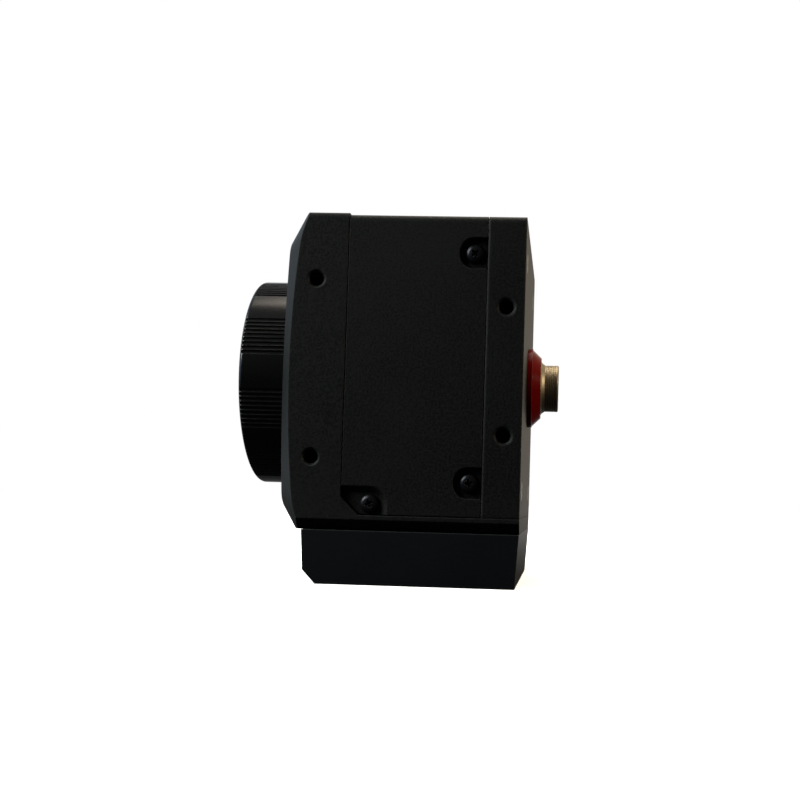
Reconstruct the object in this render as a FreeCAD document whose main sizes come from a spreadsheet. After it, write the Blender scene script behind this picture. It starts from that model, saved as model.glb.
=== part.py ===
import FreeCAD, Part
import math
import os
import re

import Sketcher

# Machine vision camera, in millimetres.  The lens looks along -Y, +Z is up.  The origin is the mouth
# of the mounting thread in the middle of the foot's underside.

SIZES = {
    # housing, from the front face to the rear face
    "body_width": 75.0,
    "block_height": 73.0,
    "front_depth": 15.0,
    "cover_length": 32.2,
    "rear_depth": 8.7,
    "axis_rise": 0.5,
    "edge_round": 1.2,
    # bowed chamfer round the front face
    "face_inset": 3.5,
    "face_bow": 3.0,
    "face_corner_round": 5.0,
    "face_slope": 32.0,
    # walls of the housing
    "front_wall": 4.6,
    "side_wall": 7.5,
    "top_wall": 5.0,
    "rear_wall": 2.5,
    "floor_thickness": 3.5,
    "floor_chamfer": 2.5,
    "seam_gap": 0.2,
    # cover
    "cover_thickness": 2.6,
    "cover_step": 0.35,
    "cover_side_step": 0.1,
    "cover_bend": 1.6,
    "tongue_length": 2.0,
    "tongue_thickness": 1.6,
    # cover screws, their pockets in the cover and the lugs they bite in
    "screw_head_radius": 2.25,
    "screw_head_height": 1.35,
    "screw_radius": 1.2,
    "screw_length": 5.0,
    "pocket_depth": 1.5,
    "pocket_half_height": 3.6,
    "pocket_round": 3.4,
    "rear_screw_setback": 3.0,
    "upper_screw_drop": 8.7,
    "lower_screw_rise": 7.9,
    "front_screw_setback": 6.6,
    "front_screw_rise": 2.7,
    "front_pocket_length": 9.25,
    "front_pocket_rise": 5.2,
    "front_pocket_round": 2.5,
    "front_pocket_slope": 45.0,
    "gusset_leg": 4.1,
    "lug_thickness": 5.0,
    "lug_half_height": 3.5,
    # tapped holes in the sides
    "tap_radius": 1.65,
    "tap_depth": 6.0,
    "tap_mouth_radius": 2.15,
    "front_tap_setback": 7.85,
    "front_tap_spacing": 40.9,
    "rear_tap_setback": 4.2,
    "rear_tap_spacing": 29.4,
    # mounting foot and what holds it
    "foot_height": 12.3,
    "foot_length": 49.6,
    "foot_draft": 3.5,
    "foot_chamfer_length": 2.8,
    "foot_chamfer_height": 3.2,
    "base_thread_radius": 2.55,
    "base_thread_depth": 9.0,
    "foot_screw_spread": 40.0,
    "foot_screw_pitch": 32.0,
    "foot_screw_head_radius": 3.4,
    "foot_screw_head_height": 3.9,
    "foot_screw_radius": 1.6,
    "foot_sink_radius": 3.8,
    "foot_sink_depth": 4.3,
    "foot_bore_radius": 2.2,
    "floor_boss_radius": 4.0,
    "floor_boss_height": 3.0,
    # lens mount
    "mount_thread_radius": 20.5,
    "mount_boss_radius": 23.8,
    "mount_boss_height": 6.0,
    "mount_flange_width": 7.4,
    "mount_flange_thickness": 2.0,
    "mount_screw_margin": 2.7,
    "mount_screw_head_radius": 2.2,
    "mount_screw_length": 4.2,
    "flange_focal": 12.0,
    "fit_gap": 0.1,
    # dust cap
    "cap_wall": 2.0,
    "cap_proud": 13.0,
    "cap_end_wall": 2.0,
    "cap_gap": 0.3,
    "cap_rim_round": 1.0,
    "cap_groups": 9,
    "cap_grooves": 9,
    "groove_pitch": 2.45,
    "groove_mouth": 0.75,
    "groove_floor": 0.4,
    "groove_depth": 0.34,
    "group_turn": 20.3,
    # filter and sensor
    "filter_radius": 19.5,
    "filter_thickness": 1.0,
    "retainer_height": 0.8,
    "retainer_width": 2.0,
    "aperture": 26.0,
    "aperture_round": 1.5,
    "window_seat": 0.7,
    "window_thickness": 0.5,
    "window_gap": 0.3,
    "gasket_width": 2.5,
    "package_thickness": 2.6,
    "die_size": 24.0,
    "die_thickness": 0.4,
    "die_margin": 0.5,
    # boards and the columns between them
    "board_side_gap": 1.5,
    "board_top_gap": 1.0,
    "board_thickness": 1.6,
    "board_round": 2.0,
    "column_side_margin": 2.5,
    "column_top_margin": 3.0,
    "column_radius": 2.5,
    "stud_radius": 1.15,
    "stud_hole_radius": 1.3,
    "stud_reach": 3.0,
    "board_hole_radius": 1.4,
    "boss_radius": 3.0,
    "front_column": 10.0,
    "middle_column": 12.0,
    "pillar_radius": 2.9,
    # cooling
    "pad_size": 24.0,
    "pad_thickness": 1.0,
    "spreader_thickness": 2.0,
    "spreader_height": 34.0,
    "chip_size": 27.0,
    "chip_thickness": 3.0,
    "chip_pad_thickness": 0.5,
    "heat_block_width": 36.0,
    "heat_block_thickness": 4.0,
    "heat_block_foot": 7.3,
    "heat_block_top": 3.0,
    # small parts on the boards
    "memory_width": 8.0,
    "memory_height": 12.0,
    "memory_thickness": 1.1,
    "memory_rise": 16.0,
    "coil_size": 7.0,
    "coil_height": 4.0,
    "coil_pitch": 10.0,
    "coil_drop": 12.0,
    "capacitor_radius": 4.0,
    "capacitor_height": 8.0,
    "capacitor_side_margin": 10.5,
    "capacitor_top_margin": 15.0,
    "link_width": 30.0,
    "link_height": 5.0,
    "link_margin": 6.0,
    # rear screws
    "rear_screw_head_radius": 2.2,
    "rear_screw_length": 8.0,
    # rear connector
    "ring_radius": 10.15,
    "ring_base": 1.2,
    "ring_height": 3.4,
    "ring_shoulder_radius": 9.9,
    "ring_tip_radius": 7.8,
    "shell_radius": 6.0,
    "shell_flare": 0.9,
    "shell_flare_length": 1.0,
    "shank_radius": 5.7,
    "shell_proud": 7.9,
    "shell_chamfer": 0.5,
    "socket_radius": 4.8,
    "socket_depth": 8.5,
    "insert_length": 5.4,
    "pin_radius": 0.5,
    "pin_circle": 3.0,
    "pin_proud": 5.0,
    "pin_tail": 3.0,
    "nut_flats": 16.0,
    "nut_thickness": 2.5,
    "connector_board_radius": 10.0,
    "connector_link_width": 12.0,
    "connector_link_height": 5.0,
}

# Places worked out from the sizes.  Depths are counted rearwards from the front face.
PLACES = {
    "body_length": "front_depth + cover_length + rear_depth",
    "front_y": "foot_length / 2 - body_length",
    "body_half": "body_width / 2",
    "body_top": "foot_height + block_height",
    "block_centre": "foot_height + block_height / 2",
    "axis_height": "block_centre + axis_rise",
    "floor_top": "foot_height + floor_thickness",
    "skin_half": "body_half - cover_side_step",
    "skin_top": "body_top - cover_step",
    "inner_half": "skin_half - cover_thickness",
    "inner_top": "skin_top - cover_thickness",
    "cavity_half": "body_half - side_wall",
    "cavity_top": "body_top - top_wall",
    "rear_start": "front_depth + cover_length",
    "rear_inner": "body_length - rear_wall",
    "pocket_floor": "skin_half - pocket_depth",
    "rear_screw_depth": "rear_start - rear_screw_setback",
    "front_screw_depth": "front_depth + front_screw_setback",
    "upper_screw_z": "skin_top - upper_screw_drop",
    "lower_screw_z": "floor_top + lower_screw_rise",
    "front_screw_z": "floor_top + front_screw_rise",
    "front_tap_depth": "front_tap_setback",
    "rear_tap_depth": "body_length - rear_tap_setback",
    "face_half": "body_half - face_inset",
    "bow_end": "face_half - face_bow",
    "bow_radius": "(bow_end * bow_end + face_bow * face_bow) / (2 * face_bow)",
    "mount_face": "-mount_boss_height",
    "mount_flange_radius": "mount_boss_radius + mount_flange_width",
    "mount_screw_circle": "mount_flange_radius - mount_screw_margin",
    "mount_screw_x": "mount_screw_circle * cos(45)",
    "cap_bore": "mount_boss_radius + cap_gap",
    "cap_radius": "cap_bore + cap_wall",
    "filter_front": "mount_flange_thickness + retainer_height",
    "filter_back": "filter_front + filter_thickness",
    "sensor_plane": "flange_focal - mount_boss_height",
    "window_size": "die_size + 2 * (die_margin + window_seat)",
    "package_size": "window_size + 2 * (window_gap + gasket_width)",
    "window_front": "front_wall + window_gap",
    "package_front": "window_front + window_thickness",
    "package_back": "package_front + package_thickness",
    "die_back": "sensor_plane + die_thickness",
    "sensor_board_back": "package_back + board_thickness",
    "processor_front": "sensor_board_back + front_column",
    "processor_back": "processor_front + board_thickness",
    "power_front": "processor_back + middle_column",
    "power_back": "power_front + board_thickness",
    "board_width": "2 * (cavity_half - board_side_gap)",
    "board_height": "2 * (cavity_top - axis_height - board_top_gap)",
    "column_x": "board_width / 2 - column_side_margin",
    "column_z": "board_height / 2 - column_top_margin",
    "memory_x": "(chip_size + board_width) / 4",
    "capacitor_x": "board_width / 2 - capacitor_side_margin",
    "capacitor_z": "board_height / 2 - capacitor_top_margin",
    "link_z": "link_margin - board_height / 2",
    "chip_back": "processor_back + chip_thickness",
    "block_front": "chip_back + chip_pad_thickness",
    "shell_end": "body_length + shell_proud",
    "socket_floor": "shell_end - socket_depth",
    "insert_front": "socket_floor - insert_length",
    "pin_start": "insert_front - pin_tail",
    "connector_board_front": "pin_start - board_thickness",
}

WORD = re.compile(r"[a-z][a-z_]*")
PLANE_NORMAL = {"XY": 1, "XZ": -1, "YZ": 1}

doc = FreeCAD.newDocument("machine_vision_camera")
sheet = doc.addObject("Spreadsheet::Sheet", "sizes")
nodes = []


def fill_sheet():
    """Writes each size into the sheet, with its name as the cell's alias."""
    for row, (name, size) in enumerate(SIZES.items(), start=1):
        sheet.set(f"A{row}", name)
        sheet.set(f"B{row}", str(size))
        sheet.setAlias(f"B{row}", name)
    doc.recompute()


def bound(formula):
    """Returns a formula of sizes and places as one of the sheet's cells."""
    def cell(match):
        word = match.group(0)
        if word in PLACES:
            return "(" + bound(PLACES[word]) + ")"
        if word in SIZES:
            return "sizes." + word
        return word
    return WORD.sub(cell, str(formula))


def number(formula):
    """Returns what a formula gives with the sheet's present sizes."""
    return float(sheet.evalExpression(bound(formula)))


def vector(x, y, z=0.0):
    return FreeCAD.Vector(x, y, z)


def bind(thing, prop, formula):
    """Ties a property of an object to the sheet."""
    thing.setExpression(prop, bound(formula))


def bind_place(thing, place):
    """Ties an object's position to three formulas."""
    for axis, formula in zip("xyz", place):
        bind(thing, "Placement.Base." + axis, formula)


def check(thing):
    """Recomputes and stops where an object has failed."""
    doc.recompute()
    if "Invalid" in thing.State or "Error" in thing.State:
        raise RuntimeError(f"{thing.Label} failed: {thing.State}")


def finish(thing, label):
    """Makes an object the node of that name."""
    thing.Label = label
    check(thing)
    nodes.append(thing)
    return thing


class Profile:
    """A sketch on a plane of its piece, with every point bound to the sheet."""

    def __init__(self, piece, plane, depth):
        self.piece = piece
        self.plane = plane
        self.sketch = piece.body.newObject("Sketcher::SketchObject", "profile")
        origin = [part for part in piece.body.Origin.OriginFeatures if part.Role == plane + "_Plane"]
        self.sketch.AttachmentSupport = [(origin[0], "")]
        self.sketch.MapMode = "FlatFace"
        bind(self.sketch, "AttachmentOffset.Base.z", f"{PLANE_NORMAL[plane]} * ({depth})")

    def tie(self, kind, *where, formula):
        """Adds a dimension and binds it to the sheet."""
        index = self.sketch.addConstraint(Sketcher.Constraint(kind, *where, number(formula)))
        self.sketch.setExpression(f"Constraints[{index}]", bound(formula))

    def pin_down(self, geometry, end, x, y):
        """Fixes a point of the sketch at two formulas."""
        self.tie("DistanceX", -1, 1, geometry, end, formula=x)
        self.tie("DistanceY", -1, 1, geometry, end, formula=y)

    def circle(self, radius, x="0", y="0"):
        middle = vector(number(x), number(y))
        index = self.sketch.addGeometry(Part.Circle(middle, vector(0, 0, 1), number(radius)))
        self.tie("Radius", index, formula=radius)
        self.pin_down(index, 3, x, y)
        return self

    def polygon(self, *corners):
        """Draws a closed outline; a corner (x, y, radius) between level and upright sides is rounded."""
        spots = [(number(corner[0]), number(corner[1])) for corner in corners]
        count = len(corners)
        pieces = []
        for index, corner in enumerate(corners):
            here = spots[index]
            if len(corner) == 2:
                pieces.append([corner])
                continue
            last, following = spots[index - 1], spots[(index + 1) % count]
            arrive = [direction(here[axis] - last[axis]) for axis in (0, 1)]
            leave = [direction(following[axis] - here[axis]) for axis in (0, 1)]
            start = [f"({corner[axis]}) - ({corner[2]}) * ({arrive[axis]})" for axis in (0, 1)]
            end = [f"({corner[axis]}) + ({corner[2]}) * ({leave[axis]})" for axis in (0, 1)]
            left_turn = arrive[0] * leave[1] - arrive[1] * leave[0] > 0
            pieces.append([start, end, corner[2], arrive, leave, left_turn])
        self.draw_arcs_and_sides(pieces)
        return self

    def draw_arcs_and_sides(self, pieces):
        """Adds the rounded corners and straight sides of an outline and joins them."""
        ends = []
        for piece, following in zip(pieces, pieces[1:] + pieces[:1]):
            if len(piece) > 1:
                ends.append(self.draw_arc(*piece))
            a = piece[1] if len(piece) > 1 else piece[0]
            b = following[0]
            a_spot = vector(number(a[0]), number(a[1]))
            b_spot = vector(number(b[0]), number(b[1]))
            index = self.sketch.addGeometry(Part.LineSegment(a_spot, b_spot))
            self.pin_down(index, 1, a[0], a[1])
            ends.append((index, 1, index, 2))
            if len(following) > 1:
                self.pin_down(index, 2, b[0], b[1])
        for now, after in zip(ends, ends[1:] + ends[:1]):
            self.sketch.addConstraint(Sketcher.Constraint("Coincident", now[2], now[3], after[0], after[1]))

    def draw_arc(self, start, end, radius, arrive, leave, left_turn):
        """Adds one rounded corner and returns the two ends of its arc in the outline's order."""
        size = number(radius)
        begin = vector(number(start[0]), number(start[1]))
        middle = begin + vector(leave[0], leave[1]) * size
        stop = vector(number(end[0]), number(end[1]))
        low, high = (begin, stop) if left_turn else (stop, begin)
        angles = [math.atan2(spot.y - middle.y, spot.x - middle.x) for spot in (low, high)]
        if angles[1] < angles[0]:
            angles[1] += 2 * math.pi
        arc = Part.ArcOfCircle(Part.Circle(middle, vector(0, 0, 1), size), angles[0], angles[1])
        index = self.sketch.addGeometry(arc)
        self.tie("Radius", index, formula=radius)
        return (index, 1, index, 2) if left_turn else (index, 2, index, 1)

    def rectangle(self, half_width, low, high, radius=None):
        """Draws a rectangle about the upright axis, with rounded corners where a radius is given."""
        left = f"-({half_width})"
        corners = [(left, low), (half_width, low), (half_width, high), (left, high)]
        if radius:
            corners = [corner + (radius,) for corner in corners]
        return self.polygon(*corners)

    def hexagon(self, flats, x="0", y="0"):
        """Draws a hexagon with that distance across its flats."""
        corners = []
        for turn in range(30, 390, 60):
            reach = f"({flats}) / 2 / cos(30)"
            corners.append((f"({x}) + {reach} * cos({turn})", f"({y}) + {reach} * sin({turn})"))
        return self.polygon(*corners)

    def bowed_square(self, middle_half, bow_radius, round_radius, centre_y):
        """Draws a square whose four sides bow outwards and whose corners are rounded."""
        sketch = self.sketch
        reach, bow, small = number(middle_half), number(bow_radius), number(round_radius)
        up = number(centre_y)
        side = reach - bow
        corner = (side + math.sqrt(2 * (bow - small) ** 2 - side * side)) / 2
        spread = math.atan2(corner, corner - side)
        for quarter in range(4):
            turn = quarter * math.pi / 2
            cos, sin = math.cos(turn), math.sin(turn)
            arc_middle = vector(side * cos, side * sin + up)
            long_arc = Part.Circle(arc_middle, vector(0, 0, 1), bow)
            sketch.addGeometry(Part.ArcOfCircle(long_arc, turn - spread, turn + spread))
            round_middle = vector(corner * (cos - sin), corner * (sin + cos) + up)
            short_arc = Part.Circle(round_middle, vector(0, 0, 1), small)
            sketch.addGeometry(Part.ArcOfCircle(short_arc, turn + spread, turn + math.pi / 2 - spread))
        for arc in range(8):
            sketch.addConstraint(Sketcher.Constraint("Tangent", arc, 2, (arc + 1) % 8, 1))
        for quarter in range(1, 4):
            sketch.addConstraint(Sketcher.Constraint("Equal", 0, 2 * quarter))
            sketch.addConstraint(Sketcher.Constraint("Equal", 1, 2 * quarter + 1))
        self.tie("Radius", 0, formula=bow_radius)
        self.tie("Radius", 1, formula=round_radius)
        offset = f"({middle_half}) - ({bow_radius})"
        self.pin_down(0, 3, offset, centre_y)
        self.pin_down(2, 3, "0", f"({centre_y}) + ({offset})")
        self.pin_down(4, 3, f"-({offset})", centre_y)
        self.pin_down(6, 3, "0", f"({centre_y}) - ({offset})")
        return self

    def add(self, length, toward=1, taper=None):
        """Pads the profile along the plane's axis, the way that toward gives."""
        pad = self.piece.body.newObject("PartDesign::Pad", "pad")
        pad.Profile = self.sketch
        pad.Reversed = toward != PLANE_NORMAL[self.plane]
        bind(pad, "Length", length)
        if taper:
            bind(pad, "TaperAngle", taper)
        return self.piece.settle(pad, grows=True)

    def cut(self, length=None, toward=1, taper=None):
        """Pockets the profile, right through where no length is given, and widens it by the taper."""
        pocket = self.piece.body.newObject("PartDesign::Pocket", "pocket")
        pocket.Profile = self.sketch
        pocket.Reversed = toward == PLANE_NORMAL[self.plane]
        if length is None:
            pocket.Type = "ThroughAll"
        else:
            bind(pocket, "Length", length)
        if taper:
            bind(pocket, "TaperAngle", taper)
        return self.piece.settle(pocket, grows=False)

    def turn(self, axis="V_Axis"):
        """Revolves the profile about the upright or the level axis of its plane."""
        revolution = self.piece.body.newObject("PartDesign::Revolution", "revolution")
        revolution.Profile = self.sketch
        revolution.ReferenceAxis = (self.sketch, [axis])
        revolution.Angle = 360
        return self.piece.settle(revolution, grows=True)

    def drill(self, radius, mouth_radius, depth=None, toward=-1):
        """Makes countersunk holes at the profile's circles, right through where no depth is given."""
        doc.recompute()
        hole = self.piece.body.newObject("PartDesign::Hole", "hole")
        hole.Profile = self.sketch
        doc.recompute()
        hole.ThreadType = "None"
        hole.Reversed = toward == PLANE_NORMAL[self.plane]
        hole.HoleCutType = "Countersink"
        hole.HoleCutCountersinkAngle = 90
        hole.DrillPoint = "Flat"
        hole.DepthType = "ThroughAll" if depth is None else "Dimension"
        if depth is not None:
            bind(hole, "Depth", depth)
        bind(hole, "Diameter", f"2 * ({radius})")
        bind(hole, "HoleCutDiameter", f"2 * ({mouth_radius})")
        return self.piece.settle(hole, grows=False)


class Piece:
    """One PartDesign body with an origin of its own."""

    def __init__(self, name, place=("0", "front_y", "axis_height")):
        self.body = doc.addObject("PartDesign::Body", name)
        bind_place(self.body, place)
        self.name = name
        self.last_volume = 0.0

    def on(self, plane, depth="0"):
        """Starts a profile on a plane of the body, that far along the plane's world axis."""
        return Profile(self, plane, depth)

    def settle(self, feature, grows):
        """Recomputes a new feature and makes sure that it added or removed material."""
        self.body.Tip = feature
        check(feature)
        volume = self.body.Shape.Volume
        if (volume > self.last_volume) != grows or volume == self.last_volume:
            raise RuntimeError(f"{self.name}: {feature.Name} did not change the body as it should")
        self.last_volume = volume
        return feature

    def repeat(self, feature, sketch, count):
        """Repeats a feature evenly round the normal of a sketch at its origin."""
        pattern = self.body.newObject("PartDesign::PolarPattern", "pattern")
        pattern.Originals = [feature]
        pattern.Axis = (sketch, ["N_Axis"])
        pattern.Angle = 360
        bind(pattern, "Occurrences", count)
        return self.settle(pattern, grows=feature.TypeId == "PartDesign::Pad")

    def mirror(self, *features):
        """Mirrors features to the other side of the middle plane."""
        mirrored = self.body.newObject("PartDesign::Mirrored", "mirrored")
        mirrored.Originals = list(features)
        middle = [part for part in self.body.Origin.OriginFeatures if part.Role == "YZ_Plane"]
        mirrored.MirrorPlane = (middle[0], [""])
        return self.settle(mirrored, grows=features[0].TypeId == "PartDesign::Pad")

    def node(self):
        return finish(self.body, self.name)


def direction(step):
    """Returns -1, 0 or 1 for the way that a step goes."""
    if abs(step) < 1e-9:
        return 0
    return 1 if step > 0 else -1


def turned(name, corners, place=("0", "front_y", "axis_height")):
    """Makes a body by turning a (radius, depth) outline about the lens axis."""
    piece = Piece(name, place)
    piece.on("XY").polygon(*corners).turn()
    return piece


def tube(inner, outer, start, stop):
    """Returns the outline of a plain tube."""
    return [(inner, start), (outer, start), (outer, stop), (inner, stop)]


def block(name, width, depth_from, depth_to, low, high, x="0"):
    """Makes a box node, centred on x, between two depths and two heights about the lens axis."""
    box = doc.addObject("Part::Box", name)
    bind(box, "Length", width)
    bind(box, "Width", f"({depth_to}) - ({depth_from})")
    bind(box, "Height", f"({high}) - ({low})")
    bind_place(box, (f"({x}) - ({width}) / 2", f"front_y + ({depth_from})", f"axis_height + ({low})"))
    return finish(box, name)


def group(name, pattern, spots, both_sides=False):
    """Makes a node of separate copies of a body's solid, moved to spots, and mirrored where asked."""
    copies = []
    for spot in spots:
        copy = pattern.body.Shape.copy()
        copy.translate(vector(*[number(formula) for formula in spot]))
        copies.append(copy)
        if both_sides:
            copies.append(copy.mirror(vector(0, 0), vector(1, 0)))
    feature = doc.addObject("Part::Feature", name)
    feature.Shape = Part.makeCompound(copies)
    return finish(feature, name)


def four_corners(x, z):
    """Returns the four spots at plus and minus x and z."""
    return [(f"{side} * ({x})", "0", f"{rise} * ({z})") for side in (-1, 1) for rise in (-1, 1)]


def shelf_section(profile, top, bend=None):
    """Draws the housing's section from the foot up, with chamfered lower edges."""
    upper = [("body_half", top), ("-body_half", top)]
    if bend:
        upper = [corner + (bend,) for corner in upper]
    return profile.polygon(("floor_chamfer - body_half", "foot_height"),
                           ("body_half - floor_chamfer", "foot_height"),
                           ("body_half", "foot_height + floor_chamfer"),
                           *upper,
                           ("-body_half", "foot_height + floor_chamfer"))


def arch(profile, half, top, thickness, low):
    """Draws an arch of even thickness that stands on the level of its feet."""
    return profile.polygon((half, low), (half, top), (f"-({half})", top), (f"-({half})", low),
                           (f"({thickness}) - ({half})", low),
                           (f"({thickness}) - ({half})", f"({top}) - ({thickness})"),
                           (f"({half}) - ({thickness})", f"({top}) - ({thickness})"),
                           (f"({half}) - ({thickness})", low))


def add_tongue(piece, start):
    """Adds the lip that locates the cover from inside."""
    profile = piece.on("XZ", start)
    arch(profile, "inner_half - seam_gap", "inner_top - seam_gap", "tongue_thickness", "floor_top")
    profile.add("tongue_length")


def add_lugs(piece, spots, root, foot=None):
    """Adds the threaded lugs that the cover screws bite in, on both sides."""
    features = []
    for depth, height in spots:
        low = foot or f"({height}) - lug_half_height"
        tip = f"({depth}) + lug_half_height" if root == "front_depth" else f"({depth}) - lug_half_height"
        profile = piece.on("YZ", "inner_half - lug_thickness")
        profile.polygon((root, low), (tip, low), (tip, f"({height}) + lug_half_height"),
                        (root, f"({height}) + lug_half_height"))
        features.append(profile.add("lug_thickness"))
        hole = piece.on("YZ", "inner_half").circle("screw_radius + fit_gap", depth, height)
        features.append(hole.cut("lug_thickness", toward=-1))
    piece.mirror(*features)


def add_side_taps(piece, face, depth, spacing):
    """Drills a pair of tapped holes, one above and one below the lens axis, in both sides."""
    profile = piece.on("YZ", face)
    for side in (-1, 1):
        profile.circle("tap_radius", depth, f"axis_height + {side} * {spacing} / 2")
    piece.mirror(profile.drill("tap_radius", "tap_mouth_radius", "tap_depth"))


def make_front_housing():
    """The casting behind the lens mount, with the floor that carries the other shells."""
    piece = Piece("front_casting", ("0", "front_y", "0"))
    shelf_section(piece.on("XZ"), "body_top", "edge_round").add("front_depth")
    shelf_section(piece.on("XZ", "front_depth"), "floor_top").add("cover_length + rear_depth")
    inside = piece.on("XZ", "front_wall").rectangle("cavity_half", "floor_top", "cavity_top", "board_round")
    inside.cut("front_depth - front_wall")
    add_tongue(piece, "front_depth")
    add_lugs(piece, [("front_screw_depth", "front_screw_z")], "front_depth", foot="floor_top")
    gusset = piece.on("YZ", "inner_half")
    gusset.polygon(("front_depth", "floor_top"), ("front_depth + gusset_leg", "floor_top"),
                   ("front_depth", "floor_top + gusset_leg"))
    piece.mirror(gusset.add("body_half - inner_half"))
    add_front_seats(piece)
    add_floor_bosses(piece)
    add_side_taps(piece, "body_half", "front_tap_depth", "front_tap_spacing")
    pillow = Piece("front_pillow", ("0", "front_y", "0"))
    face = pillow.on("XZ").bowed_square("face_half", "bow_radius", "face_corner_round", "block_centre")
    face.add("body_length", taper="90 - face_slope")
    housing = doc.addObject("Part::Common", "front_housing")
    housing.Base = piece.body
    housing.Tool = pillow.body
    finish(housing, "front_housing")


def add_front_seats(piece):
    """Cuts the seats of the lens mount, filter and sensor into the front wall."""
    axis = "axis_height"
    piece.on("XZ").circle("mount_flange_radius + fit_gap", "0", axis).cut("mount_flange_thickness")
    piece.on("XZ").circle("filter_radius + fit_gap", "0", axis).cut("filter_back")
    opening = piece.on("XZ").rectangle("aperture / 2", "axis_height - aperture / 2",
                                       "axis_height + aperture / 2", "aperture_round")
    opening.cut("front_wall")
    screws = piece.on("XZ")
    bosses = piece.on("XZ", "front_wall")
    holes = piece.on("XZ", "front_wall")
    for side in (-1, 1):
        for rise in (-1, 1):
            screws.circle("stud_hole_radius", f"{side} * mount_screw_x",
                          f"axis_height + {rise} * mount_screw_x")
            spot = (f"{side} * column_x", f"axis_height + {rise} * column_z")
            bosses.circle("boss_radius", *spot)
            holes.circle("stud_hole_radius", *spot)
    screws.cut("front_wall")
    bosses.add("package_back - front_wall")
    holes.cut("package_back - front_wall")


def add_floor_bosses(piece):
    """Adds the bosses of the foot's screws to the floor, with their holes."""
    bosses = piece.on("XY", "floor_top")
    holes = piece.on("XY", "foot_height")
    for side in (-1, 1):
        for way in (-1, 1):
            spot = (f"{side} * foot_screw_spread / 2", f"{way} * foot_screw_pitch / 2 - front_y")
            bosses.circle("floor_boss_radius", *spot)
            holes.circle("foot_screw_radius + fit_gap", *spot)
    bosses.add("floor_boss_height")
    holes.cut("floor_thickness + floor_boss_height")


def make_cover():
    """The shell that bridges the two housings over both sides and the top."""
    piece = Piece("cover", ("0", "front_y", "0"))
    low = "floor_top + seam_gap"
    section = piece.on("XZ", "front_depth + seam_gap")
    section.polygon(("-skin_half", low), ("-inner_half", low), ("-inner_half", "inner_top"),
                    ("inner_half", "inner_top"), ("inner_half", low), ("skin_half", low),
                    ("skin_half", "skin_top", "cover_bend"), ("-skin_half", "skin_top", "cover_bend"))
    section.add("cover_length - 2 * seam_gap")
    cuts = []
    for height in ("upper_screw_z", "lower_screw_z"):
        front = "rear_screw_depth - pocket_half_height"
        back = "rear_start + pocket_depth"
        pocket = piece.on("YZ", "pocket_floor")
        low = f"{height} - pocket_half_height"
        high = f"{height} + pocket_half_height"
        pocket.polygon((back, low), (back, high), (front, high, "pocket_round"),
                       (front, low, "pocket_round"))
        cuts.append(pocket.cut("2 * pocket_depth"))
    corner = piece.on("YZ", "pocket_floor")
    front = "front_depth - pocket_depth"
    back = "front_depth + front_pocket_length"
    low = "floor_top - pocket_depth"
    high = "floor_top + front_pocket_rise"
    corner.polygon((front, low), (back, low), (back, high, "front_pocket_round"), (front, high))
    cuts.append(corner.cut("2 * pocket_depth", taper="front_pocket_slope"))
    notch = piece.on("YZ", "inner_half - seam_gap")
    notch.polygon(("front_depth", "floor_top"), ("front_depth + gusset_leg + 2 * seam_gap", "floor_top"),
                  ("front_depth", "floor_top + gusset_leg + 2 * seam_gap"))
    cuts.append(notch.cut("2 * cover_thickness"))
    holes = piece.on("YZ", "inner_half - seam_gap")
    for depth, height in cover_screw_spots():
        holes.circle("screw_radius + 2 * fit_gap", depth, height)
    cuts.append(holes.cut("2 * cover_thickness"))
    piece.mirror(*cuts)
    piece.node()


def cover_screw_spots():
    """Returns the depth and height of the three cover screws of a side."""
    return [("rear_screw_depth", "upper_screw_z"), ("rear_screw_depth", "lower_screw_z"),
            ("front_screw_depth", "front_screw_z")]


def make_rear_housing():
    """The casting behind the cover, with the wall that carries the connector."""
    piece = Piece("rear_housing", ("0", "front_y", "0"))
    outside = piece.on("XZ", "rear_start")
    outside.polygon(("-skin_half", "floor_top"), ("skin_half", "floor_top"),
                    ("skin_half", "skin_top", "cover_bend"), ("-skin_half", "skin_top", "cover_bend"))
    outside.add("rear_depth")
    inside = piece.on("XZ", "rear_start")
    inside.polygon(("-cavity_half", "floor_top - rear_wall"), ("cavity_half", "floor_top - rear_wall"),
                   ("cavity_half", "cavity_top", "board_round"),
                   ("-cavity_half", "cavity_top", "board_round"))
    inside.cut("rear_depth - rear_wall")
    add_tongue(piece, "rear_start - tongue_length")
    lugs = [("rear_screw_depth", "upper_screw_z"), ("rear_screw_depth", "lower_screw_z")]
    add_lugs(piece, lugs, "rear_start")
    add_side_taps(piece, "skin_half", "rear_tap_depth", "rear_tap_spacing")
    piece.on("XZ", "rear_inner").circle("shank_radius + fit_gap", "0", "axis_height").cut("rear_wall")
    screws = piece.on("XZ", "body_length")
    for side in (-1, 1):
        for rise in (-1, 1):
            screws.circle("board_hole_radius", f"{side} * column_x", f"axis_height + {rise} * column_z")
    screws.drill("board_hole_radius", "rear_screw_head_radius + fit_gap")
    piece.node()


def make_foot():
    """The block that the camera stands on or is bolted down by, with drafted ends."""
    piece = Piece("mounting_foot", ("0", "0", "0"))
    half = "foot_length / 2"
    side = piece.on("YZ", "-body_half")
    side.polygon((half, "foot_height"), (f"-{half}", "foot_height"),
                 (f"(foot_height - foot_chamfer_height) * tan(foot_draft) - {half}", "foot_chamfer_height"),
                 (f"foot_height * tan(foot_draft) + foot_chamfer_length - {half}", "0"),
                 (f"{half} - foot_height * tan(foot_draft)", "0"))
    side.add("body_width")
    piece.on("XY").circle("base_thread_radius").cut("base_thread_depth")
    bores = piece.on("XY")
    sinks = piece.on("XY")
    for x, y in foot_screw_spots():
        bores.circle("foot_bore_radius", x, y)
        sinks.circle("foot_sink_radius", x, y)
    bores.cut("foot_height")
    sinks.cut("foot_sink_depth")
    piece.node()


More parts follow.
